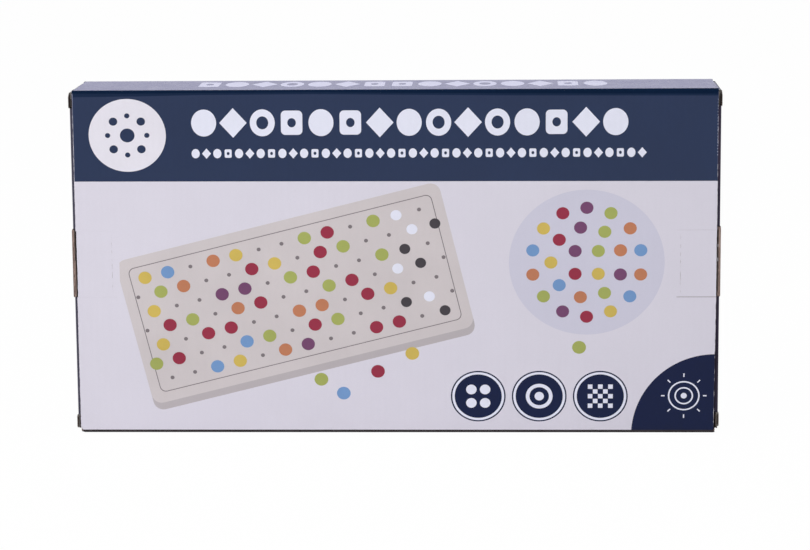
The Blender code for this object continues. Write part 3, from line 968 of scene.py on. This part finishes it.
def narrow_panel(name, level, art, ground, fold_shade_finish):
    """Top (+1) or bottom (-1) of the sleeve, with the folds to the front and back along it."""
    shape = Shape()
    notch_x = dust_pivot.x - crease_reach
    flat_y = half_depth - fold_radius

    def place(u, v, depth):
        return (u, v, height - depth if level > 0 else depth)

    def cut_back(word, depth):
        return foot_cut(word, depth) if level < 0 else 0

    cuts = {word: cut_back(word, 0) for word, _ in sides}
    outer, inner = (narrow_outline(reach, notch_x, cuts) for reach in (flat_y, inner_y))
    add_liners(shape, place, outer, inner, art, ground, ground)
    add_flutes(shape, place, -notch_x, notch_x, -flat_y, flat_y)
    outer, inner = (
        arc((flat_y, fold_radius), radius, 0, -90, fold_steps)
        for radius in (fold_radius, fold_radius - liner)
    )
    filling = inner + [(inner_y, liner), (inner_y, caliper), (half_depth - liner, caliper)]
    # The fold arcs take the fold shade finish: dark ink painted in as the folds' shade
    for way, end_x in ((-1, half_sleeve), (1, closure_pivot.x - crease_reach)):
        for loop, finish in ((outer + inner[::-1], fold_shade_finish), (filling, "medium")):
            rings = []
            for word, side in reversed(sides):
                ends = [side * (end_x - cut_back(word, v)) for _, v in loop]
                rings.append([place(x, way * u, v) for x, (u, v) in zip(ends, loop)])
            shape.loft(rings, finish)
    dress(name, shape, "carton", ["carton_" + name])


def glue_flap():
    """Inner flap of the glued seam."""
    low, high = box_mm("carton_glue_flap")
    taper = 12
    shape = Shape()

    def place(u, v, depth):
        return (u, low.y + depth, v)

    outline = [(low.x, low.z), (high.x, low.z), (high.x - taper, high.z), (low.x + taper, high.z)]
    add_liners(shape, place, outline, outline, [], "kraft")
    add_flutes(shape, place, low.x + taper, high.x - taper, low.z, high.z)
    dress("glue_flap", shape, "carton", ["carton_glue_flap"])


def closure_bands(word):
    """Pairs of heights of the closure's low ear, lock slot and high ear."""
    lift, ear_height = low_ear[word]
    low = closure_low.z + lift
    low_margin, high_margin = slot_margins[word]
    slot = (tab_low.z - low_margin, tab_high.z + high_margin)
    return (low, low + ear_height), slot, (closure_high.z - high_ear, closure_high.z)


def closure_outline(near_y, far_y, bands, top_cut):
    """The flat panel of a closure, with raw tongues that reach the front between pairs of heights."""
    made = [(near_y, closure_low.z), (far_y, closure_low.z), (far_y, bands[-1][1])]
    for low, high in reversed(bands):
        cut = top_cut if high == bands[-1][1] else ear_cut
        made += [
            (near_y, high),
            (cut - half_depth, high),
            (-half_depth, high - cut),
            (-half_depth, low + ear_cut),
            (ear_cut - half_depth, low),
            (near_y, low),
        ]
    return made


def closure(word, side):
    """End closure: the flat panel with its two corner ears and the raw edge of the lock slot."""
    rng = random.Random(21 + side)
    shape = Shape()
    near_y = tuck_pivot.y + crease_reach
    far_y = closure_pivot.y - crease_reach
    low_z, high_z = closure_low.z, closure_high.z
    bands = closure_bands(word)
    (ear_low, ear_high), (slot_low, slot_high), _ = bands
    shade_low, shade_high = slot_shade_spans[word]

    def place(u, v, depth):
        share = min(1, (u + half_depth) / (near_y + half_depth))
        outer_x = closure_high.x - share * closure_recess
        thin = 1 - share * (1 - closure_caliper / caliper)
        return (side * (outer_x - depth * thin), u, v)

    def is_raw(a, b):
        return abs(a[0] + half_depth) < weld and abs(b[0] + half_depth) < weld

    # Cut faces: darkened kraft as painted shade on the ear stubs, plain kraft at the lock slot, and
    # near-black painted shade of the open flutes elsewhere
    def edge(v):
        if v < ear_high or v > high_z - ear_crush:
            return "stub"
        return "kraft" if slot_low < v < slot_high else "hollow"

    # The inner cut also takes the near-black painted shadow of the gap beside the lock tab, and below
    # the low ear
    def inner_edge(v):
        if any(abs(v - torn_z) < torn_reach for torn_z in torn_spots[word]):
            return "torn"
        is_shaded = v < ear_high or slot_low + shade_low < v < slot_low + shade_high
        return "hollow" if is_shaded else edge(v)

    outer = roughen(closure_outline(near_y, far_y, bands, ear_crush), is_raw, rng)
    inner = roughen(closure_outline(near_y, far_y, bands, ear_cut), is_raw, rng)
    add_liners(shape, place, outer, inner, end_art(), "navy", edge, inner_edge)
    depths = (liner - flute_bite, caliper - liner + flute_bite)
    # Pressed board at the closure's top and the ears; the ears' cut faces are darkened kraft as painted
    # shade
    for start, end, low, high, finish in (
        (near_y, far_y, high_z - 0.5, high_z, "top"),
        (ear_cut - half_depth, near_y, ear_low, ear_low + ear_cut, "stub"),
        (ear_cut - half_depth, near_y, ear_high - ear_cut, ear_high, "stub"),
        (ear_crush - half_depth, near_y, high_z - ear_crush, high_z, "stub"),
    ):
        pressed = rectangle(start, end, low, high)
        add_slab(shape, place, pressed, [], *depths, "kraft", finish)
    add_flutes(shape, place, near_y, far_y, low_z, high_z)
    tip_y = tongue_inset - half_depth
    # Flutes in the tongues: the ears' are painted dark as their shade, the slot's are plain medium
    for (low, high), finish in zip(bands, ("stub", "medium", "hollow")):
        add_flutes(shape, place, tip_y, near_y, low + ear_cut, high - ear_cut, finish)
    add_crushed_cut(shape, side, slot_low + tongue_inset, slot_high - tongue_inset, rng)
    dress(f"{word}_closure", shape, f"{word}_end_closure", [f"{word}_end_closure"])


def add_crushed_cut(shape, side, low, high, rng):
    """Flattened board in the cut at the lock slot."""
    steps = int((high - low) / 0.9)
    near_x, far_x = closure_high.x - caliper + 0.4, closure_high.x - 0.1
    far_y = -half_depth + 1.6
    rings = []
    for i in range(steps + 1):
        z = low + (high - low) * i / steps
        front = -half_depth + 0.12 + 0.3 * rng.random()
        a, b = near_x + 0.25 * rng.random(), far_x - 0.2 * rng.random()
        loop = [(a, front), (b, front + 0.2 * rng.random()), (b, far_y), (a, far_y)]
        rings.append([(side * x, y, z) for x, y in loop])
    shape.loft(rings, "crushed")


def tuck_directions(side):
    """Along the leaning tuck flap and out of it, in plan."""
    c, s = math.cos(tuck_lean), math.sin(tuck_lean)
    return Vector((-side * c, s)), Vector((-side * s, -c))


def tuck_flap(word, side):
    """Flap folded from the closure and notched for the lock tab, as long as its leaning box says."""
    shape = Shape()
    run, out = tuck_directions(side)
    pivot = Vector((side * closure_inner, tuck_pivot.y))
    reach = closure_inner - tuck_low.x
    length = (reach - caliper * math.sin(tuck_lean)) / math.cos(tuck_lean)
    raw_low, raw_high = tab_low.z - notch_margin, tab_high.z + notch_margin
    low_z, high_z = tuck_low.z, tuck_high.z

    def place(u, v, depth):
        point = pivot + run * u + out * (caliper - depth)
        return (point.x, point.y, v)

    outline = [
        (crease_reach, low_z),
        (length - tuck_corner / 2, low_z),
        (length, low_z + tuck_corner),
        (length, high_z - tuck_corner),
        (length - tuck_corner / 2, high_z),
        (crease_reach, high_z),
        (crease_reach, raw_high),
        (tuck_notch, raw_high),
        (tuck_notch, raw_low),
        (crease_reach, raw_low),
    ]
    bleed = [(rectangle(0, 7, 0, height), "navy")]
    add_liners(shape, place, outline, outline, bleed, "kraft")
    add_flutes(shape, place, crease_reach, tuck_notch, low_z, raw_low)
    add_flutes(shape, place, crease_reach, tuck_notch, raw_high, high_z)
    add_flutes(shape, place, tuck_notch, length - 0.1, low_z + tuck_corner, high_z - tuck_corner)
    dress(f"{word}_tuck", shape, f"{word}_tuck_flap", [f"{word}_tuck_flap"])


def dust_flap(word, side, level_word, level):
    """Corner flap behind the closure, folded from the top (+1) or bottom (-1) panel."""
    shape = Shape()
    node = f"{word}_{level_word}_dust_flap"
    low, high = box_mm(node)
    length = dust_pivot.z - dust_low.z
    crease_z = ceiling if level > 0 else caliper
    chamfer, taper = 4, 13.5

    def place(u, v, depth):
        return (side * (half_sleeve - depth), u, crease_z - level * v)

    def place_flutes(v, u, depth):
        return place(u, v, depth)

    outline = [
        (high.y, crease_reach),
        (high.y - taper, length),
        (low.y + chamfer, length),
        (low.y, length - chamfer),
        (low.y, crease_reach),
    ]
    bleed = [(rectangle(low.y - 1, high.y + 1, 0, 5), "navy")]
    add_liners(shape, place, outline, outline, bleed, "kraft")
    add_flutes(shape, place_flutes, crease_reach, length - chamfer, low.y, high.y - taper)
    dress(node.replace("_flap", ""), shape, node, [node])


def turn_out(direction, angle):
    """A plane direction turned anticlockwise by an angle."""
    c, s = math.cos(angle), math.sin(angle)
    return Vector((direction.x * c - direction.y * s, direction.x * s + direction.y * c))


def in_plan(point, z):
    return (point.x, point.y, z)


def in_section(point, y):
    return (point.x, y, point.y)


def crease(name, pivot, directions, spans, finish, thicknesses, place):
    """The two liners of the board where it folds, shaped as a bend from the parent's board to the
    child's.

    Directions: along the parent's board away from the fold and out of it, then the same for the child's.
    """
    pivot = Vector(pivot)
    parent_run, parent_out, child_run, child_out = (Vector(d) for d in directions)
    parent_thick, child_thick = thicknesses
    turns = parent_out != child_out
    shares = [i / crease_steps for i in range(crease_steps + 1)]
    parent_bases = [pivot + parent_run * crease_reach * (1 - share) for share in shares]
    child_bases = [pivot + child_run * crease_reach * share for share in shares]
    middles = [(base, parent_out, parent_thick) for base in parent_bases]
    if turns:
        whole = parent_out.angle_signed(child_out)
        for i in range(1, 2 * fold_steps):
            share = i / (2 * fold_steps)
            thick = parent_thick + (child_thick - parent_thick) * share
            thick *= 1 + fold_crispness * math.sin(math.pi * share) ** 2
            middles.append((pivot, turn_out(parent_out, -whole * share), thick))
    middles += [(base, child_out, child_thick) for base in child_bases[0 if turns else 1 :]]
    outside = [(base + out * thick, base + out * (thick - liner)) for base, out, thick in middles]
    bisector = (parent_out + child_out) / (1 + parent_out.dot(child_out))
    inside = [(base + parent_out * liner, base) for base in parent_bases[:-1]]
    inside.append((pivot + bisector * liner, pivot))
    inside += [(base + child_out * liner, base) for base in child_bases[1:]]
    outer_start = pivot + parent_out * parent_thick
    if not turns:
        outer_start += parent_run * 0.5 * crease_reach
    outer_end = pivot + child_out * child_thick + child_run * 0.6 * crease_reach
    inner_start, inner_end = (pivot + run * 0.5 * crease_reach for run in (parent_run, child_run))
    middle = (spans[0][0] + spans[-1][1]) / 2
    for kind, pairs, look, start, end in (
        ("outside", outside, finish, outer_start, outer_end),
        ("inside", inside, "kraft", inner_start, inner_end),
    ):
        shape = Shape()
        section = [a for a, _ in pairs] + [b for _, b in reversed(pairs)]
        for span in spans:
            shape.strip([[place(p, along) for p in section] for along in span], look)
        obj = make_piece(f"{name}_{kind}", shape, 60)
        Vector(place(start, middle)) * MM
        Vector(place(end, middle)) * MM
        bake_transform(obj)


def creases(word, side):
    """All five folds at one end of the carton."""
    inward, outward, forward, backward = (-side, 0), (side, 0), (0, -1), (0, 1)
    low_band, slot_band, high_band = closure_bands(word)
    crease(
        f"{word}_closure_fold",
        (side * closure_inner, closure_pivot.y),
        (inward, backward, forward, outward),
        [(closure_low.z, closure_high.z)],
        "navy",
        (caliper, closure_caliper),
        in_plan,
    )
    # The tuck fold's outside takes a painted shade, darker on the right
    crease(
        f"{word}_tuck_fold",
        (side * closure_inner, tuck_pivot.y),
        (backward, outward, *tuck_directions(side)),
        [(low_band[1], slot_band[0]), (slot_band[1], high_band[0])],
        "worn_" + word,
        (closure_caliper, caliper),
        in_plan,
    )
    crease(
        f"{word}_tab_fold",
        (side * tab_pivot.x, tab_pivot.y),
        (inward, forward, outward, forward),
        [(tab_low.z, tab_high.z)],
        "field",
        (caliper, caliper),
        in_plan,
    )
    for level_word, level in levels:
        crease(
            f"{word}_{level_word}_dust_fold",
            (side * dust_pivot.x, ceiling if level > 0 else caliper),
            (inward, (0, level), (0, -level), outward),
            [(dust_low.y, dust_high.y)],
            "top" if level > 0 else "navy",
            (caliper, caliper),
            in_section,
        )


# Playing board

column_count = 10
column_pitch = 29
column_xs = [column_pitch * (i - (column_count - 1) / 2) for i in range(column_count)]
code_heights = [board_low.z + 17 + 19.5 * i for i in range(4)]
key_heights = [board_high.z - 16 - 11 * i for i in range(4)]
code_radius = 2.4
key_radius = 1.9
hole_depth = 7
hole_points = 20
board_rim = 0.8
board_corner = 6
line_width = 0.6
line_lift = 0.04


def board_blank():
    """The board before it is drilled, with its long edges eased."""
    shape = Shape()
    rings = []
    for inset, y in (
        (board_rim, board_low.y),
        (0, board_low.y + board_rim),
        (0, board_high.y - board_rim),
        (board_rim, board_high.y),
    ):
        ends = (board_low.x + inset, board_high.x - inset, board_low.z + inset, board_high.z - inset)
        rings.append([(x, y, z) for x, z in rounded(*ends, board_corner - inset)])
    shape.loft(rings, "wood")
    return make_piece("wooden_board", shape)


def board_drills():
    """The holes of the columns and those in the left end, as one cutter."""
    drills = Shape()
    start, end = board_low.y - 1, board_low.y + hole_depth
    for x in column_xs:
        for radius, heights in ((code_radius, code_heights), (key_radius, key_heights)):
            for z in heights:
                loop = disc((x, z), radius, hole_points)
                drills.loft([[(u, y, v) for u, v in loop] for y in (start, end)], "wood")
    start, end = board_low.x - 1, board_low.x + hole_depth
    for z in code_heights:
        loop = disc(((board_low.y + board_high.y) / 2, z), code_radius, hole_points)
        drills.loft([[(x, u, v) for u, v in loop] for x in (start, end)], "wood")
    return make_piece("board_cutter", drills)


def playing_board():
    """Whitewashed board with round holes."""
    board, cutter = board_blank(), board_drills()
    modifier = board.modifiers.new("holes", "BOOLEAN")
    modifier.operation = "DIFFERENCE"
    modifier.solver = "EXACT"
    modifier.object = cutter
    graph = bpy.context.evaluated_depsgraph_get()
    drilled = bpy.data.meshes.new_from_object(board.evaluated_get(graph))
    board.modifiers.clear()
    board.data = drilled
    drilled.shade_smooth()
    drilled.set_sharp_from_angle(angle=math.radians(30))
    bpy.data.objects.remove(cutter)
    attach(board, "carton")
    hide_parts("playing_board")


def column_lines():
    """Printed outlines round the code holes and round the key holes of each column."""
    lines = Shape()
    split_z = key_heights[-1] - 9
    for x in column_xs:
        for low, high in ((board_low.z + 7, split_z - 1.5), (split_z + 1.5, board_high.z - 7)):
            outer = rounded(x - 13, x + 13, low, high, 3)
            inner_ends = (x - 13 + line_width, x + 13 - line_width, low + line_width, high - line_width)
            inner = rounded(*inner_ends, 3 - line_width)
            count = len(outer)
            points = []
            for y in (board_low.y - line_lift, board_low.y + line_lift):
                points += [(u, y, v) for u, v in outer + inner]
            faces = []
            for a, b in ((0, 1), (2, 3), (0, 2), (1, 3)):
                faces += quads(a * count, b * count, count)
            lines.add(points, faces, "line")
    dress("board_column_lines", lines, "carton")


# Pegs: radius and height along the turned outline, as shares of the peg's own

peg_outline_shares = (
    (0.86, 0.00),
    (1.00, 0.07),
    (0.99, 0.22),
    (0.80, 0.40),
    (0.66, 0.54),
    (0.86, 0.64),
    (0.95, 0.76),
    (0.84, 0.89),
    (0.50, 0.97),
    (0.12, 1.00),
)


def smooth_profile(points, steps):
    """Points along a Catmull-Rom curve through a turned outline."""
    made = []
    padded = [points[0]] + points + [points[-1]]
    for a, b, c, d in zip(padded, padded[1:], padded[2:], padded[3:]):
        for t in (i / steps for i in range(steps)):
            point = []
            for p, q, r, s in zip(a, b, c, d):
                bend = (2 * p - 5 * q + 4 * r - s) * t * t + (3 * q - p - 3 * r + s) * t**3
                point.append(0.5 * (2 * q + (r - p) * t + bend))
            made.append(tuple(point))
    return made + [points[-1]]


def peg(node, word, base, body, tenon, tenon_length):
    """Turned peg with a smooth outline, where the frame has it."""
    low, high = box_mm(node)
    centre = (low + high) / 2
    mesh = nodes[node].data
    crown = min(mesh.vertices, key=lambda v: (v.co / MM - centre).yz.length).co.x / MM
    head = 1 if crown > centre.x else -1
    foot_x = crown - head * body
    outline = [(share * base / 2, tall * body) for share, tall in peg_outline_shares]
    section = [(tenon / 2 - 0.35, -tenon_length), (tenon / 2, -tenon_length + 0.35), (tenon / 2, 0)]
    section += smooth_profile(outline, 3)
    shape = Shape()
    rings = []
    for radius, along in section:
        loop = disc((centre.y, centre.z), radius, 20)
        rings.append([(foot_x + head * along, y, z) for y, z in loop])
    shape.loft(rings, "lacquer_" + word)
    dress(node.replace("_peg", ""), shape, "carton", [node], 50)


def pegs():
    """Every peg that the frame has."""
    for node in sorted(nodes):
        if node.startswith("code_peg"):
            peg(node, node.split("_")[2], 8.0, 15, 4.4, 6)
        elif node.startswith("key_peg"):
            peg(node, node.split("_")[2], 6.6, 14, 3.4, 5)


# Bag, from the bottom up: height, width and thickness as shares of its own, squareness, gathers

bag_sections = (
    (0.000, 0.90, 0.80, 6, 0.00),
    (0.012, 0.95, 0.94, 7, 0.05),
    (0.050, 0.98, 0.98, 8, 0.10),
    (0.220, 0.99, 0.98, 8, 0.12),
    (0.300, 0.97, 0.86, 6, 0.25),
    (0.480, 0.90, 0.62, 4, 0.50),
    (0.680, 0.68, 0.54, 3, 0.80),
    (0.800, 0.36, 0.48, 2, 1.00),
    (0.850, 0.155, 0.45, 2, 0.90),
    (0.900, 0.155, 0.45, 2, 0.90),
    (0.940, 0.24, 0.53, 2, 1.10),
    (1.000, 0.36, 0.60, 2, 1.20),
)
bag_points = 120
bag_rows = 72
bag_cloth = 0.35
hem_share = 0.955
stitch_lift = 0.12
stitch_radius = 0.16


def between(height_share):
    """The bag's values at a height, eased between the nearest two sections."""
    for lower, upper in zip(bag_sections, bag_sections[1:]):
        if height_share <= upper[0]:
            t = (height_share - lower[0]) / (upper[0] - lower[0])
            t = t * t * (3 - 2 * t)
            return [a + (b - a) * t for a, b in zip(lower, upper)]
    return list(bag_sections[-1])


def bag_ring(share, shrink, z):
    """One gathered ring of the bag's cloth, shaped as at a share of its height."""
    centre, half = (bag_low + bag_high) / 2, (bag_high - bag_low) / 2
    _, wide, thick, square, gather = between(share)
    made = []
    for i in range(bag_points):
        angle = math.tau * (i + 0.5) / bag_points
        c, s = math.cos(angle), math.sin(angle)
        pleat = math.sin(22 * angle + 2.2 * math.sin(3 * angle + 4 * share))
        fold = math.sin(9 * angle + 5 * share) * math.sin(7 * share + 2 * angle)
        pull = 1 - gather * (0.075 * (1 + pleat) / 2 + 0.035 * (1 + fold) / 2)
        x = math.copysign(abs(c) ** (2 / square), c) * (half.x * wide * pull - shrink)
        y = math.copysign(abs(s) ** (2 / square), s) * (half.y * thick * pull - shrink)
        made.append((centre.x + x, centre.y + y, z))
    return made


def add_tube(shape, path, radius, count, finish, closed=False):
    """A round tube along a path of points."""
    angles = [math.tau * i / count for i in range(count)]
    rings = []
    for i, point in enumerate(path):
        before = path[i - 1] if closed or i else point
        after = path[(i + 1) % len(path)] if closed or i < len(path) - 1 else point
        forward = (after - before).normalized()
        across = forward.cross(Vector((0.05, 0.1, 1))).normalized()
        up = across.cross(forward).normalized()
        rings.append([tuple(point + radius * (across * math.cos(a) + up * math.sin(a))) for a in angles])
    if closed:
        rings.append(rings[0])
    shape.loft(rings, finish, capped=not closed)


def peg_bag():
    """Cotton bag with gathers that run down from its neck, and a stitched hem at its mouth."""
    tall = bag_high.z - bag_low.z
    outer, inner = [], []
    for row in range(bag_rows + 1):
        share = row / bag_rows
        z = bag_low.z + share * tall
        outer.append(bag_ring(share, 0, z))
        inner.append(bag_ring(share, bag_cloth, max(z, bag_low.z + bag_cloth)))
    shape = Shape()
    shape.loft(outer + inner[::-1][:-1], "cotton")
    dress("peg_bag", shape, "carton", ["drawstring_bag"], 60)

    seam = Shape()
    path = bag_ring(hem_share, -stitch_lift, bag_low.z + hem_share * tall)
    for i in range(0, bag_points, 2):
        a, b = Vector(path[i]), Vector(path[i + 1])
        add_tube(seam, [a, a.lerp(b, 0.4), b], stitch_radius, 6, "string")
    dress("bag_hem_stitches", seam, "carton")


def drawstring():
    """Twisted string in a closed ring round the neck."""
    centre, half = (string_low + string_high) / 2, (string_high - string_low) / 2
    radius = half.z
    strand = radius * 0.55
    steps, twists = 160, 26
    shape = Shape()
    for phase in (0, math.pi):
        path = []
        for i in range(steps):
            angle = math.tau * i / steps
            turn = twists * angle + phase
            swell = math.cos(turn) * (radius - strand) - radius
            x, y = (half.x + swell) * math.cos(angle), (half.y + swell) * math.sin(angle)
            path.append(centre + Vector((x, y, math.sin(turn) * (radius - strand))))
        add_tube(shape, path, strand, 8, "string", closed=True)
    dress("neck_string", shape, "carton", ["bag_drawstring"], 60)


def leaflet():
    """The frame's folded leaflet, in paper."""
    mesh = nodes["instruction_leaflet"].data
    mesh.materials.clear()
    mesh.materials.append(finishes["paper"])


# Room, light and camera


def floor_material():
    """Pale studio floor that shows nearly white to the camera and keeps the shadow."""
    recipe = new_recipe("studio_floor")
    recipe.set("Base Color", (0.90, 0.90, 0.90))
    recipe.set("Roughness", 1.0)
    recipe.set("Specular IOR Level", 0.0)
    glow = recipe.add("ShaderNodeEmission", {"Color": (1, 1, 1), "Strength": 1.0})
    white = recipe.math("MULTIPLY", recipe.direct_rays(), 0.985)
    shaders = {0: white, 1: recipe.shader.outputs[0], 2: glow.outputs[0]}
    output = next(n for n in recipe.tree.nodes if n.type == "OUTPUT_MATERIAL")
    recipe.feed(output.inputs["Surface"], recipe.add("ShaderNodeMixShader", shaders).outputs[0])
    return recipe.block


def floor():
    """A floor far wider than the view."""
    reach = 9
    mesh = bpy.data.meshes.new("floor")
    loop = rectangle(-reach, reach, -reach, reach)
    mesh.from_pydata([(x, y, 0) for x, y in loop], [], [(0, 1, 2, 3)])
    mesh.materials.append(floor_material())
    add_object("floor", mesh)


def world_light():
    """White to the camera and to reflections, a soft grey to everything else."""
    world = bpy.data.worlds.new("studio")
    bpy.context.scene.world = world
    recipe = Recipe(world, "Background")
    recipe.set("Color", (1, 1, 1))
    recipe.set("Strength", recipe.spread(recipe.direct_rays(), 0.36, 1.0, 0, 1))


def lamp(name, place, target, size, power):
    """A soft square lamp that faces a point."""
    data = bpy.data.lights.new(name, "AREA")
    data.shape = "SQUARE"
    data.size = size
    data.energy = power
    obj = add_object(name, data)
    obj.location = place
    obj.rotation_euler = (Vector(target) - Vector(place)).to_track_quat("-Z", "Y").to_euler()


def lamps():
    """One main lamp at the front's left, with two weaker ones."""
    middle = (0, 0, 0.08)
    lamp("front_left", (-0.75, -0.95, 0.88), (-0.1, 0, 0.12), 0.7, 8.9)
    lamp("front_right", (1.4, -1.7, 0.9), middle, 1.2, 4)
    lamp("overhead", (0, -0.1, 1.9), middle, 1.4, 9)


def camera():
    """The photograph's viewpoint, fitted to the eight seen corners of the carton."""
    data = bpy.data.cameras.new("camera")
    data.sensor_fit = "HORIZONTAL"
    data.sensor_width = 36
    data.lens = 122.78
    obj = add_object("camera", data)
    turn = Matrix.Rotation(math.radians(2.088), 4, "Z")
    tilt = Matrix.Rotation(math.radians(90 - 9.925), 4, "X")
    roll = Matrix.Rotation(math.radians(-0.449), 4, "Z")
    obj.matrix_world = Matrix.Translation((0.0533, -1.3554, 0.3126)) @ turn @ tilt @ roll
    bpy.context.scene.camera = obj


def main():
    """Builds every piece, the room and the camera."""
    front_panel()
    back_panel()
    # The folds of the top and bottom panels are painted dark as their shade
    narrow_panel("top_panel", 1, top_art(), "top", "fold")
    narrow_panel("bottom_panel", -1, [], "navy", "foot")
    glue_flap()
    for word, side in sides:
        closure(word, side)
        tuck_flap(word, side)
        lock_tab(word, side)
        for level_word, level in levels:
            dust_flap(word, side, level_word, level)
        creases(word, side)
    playing_board()
    column_lines()
    pegs()
    peg_bag()
    drawstring()
    leaflet()
    floor()
    world_light()
    lamps()
    camera()
    bpy.context.scene.view_settings.view_transform = "Standard"


main()
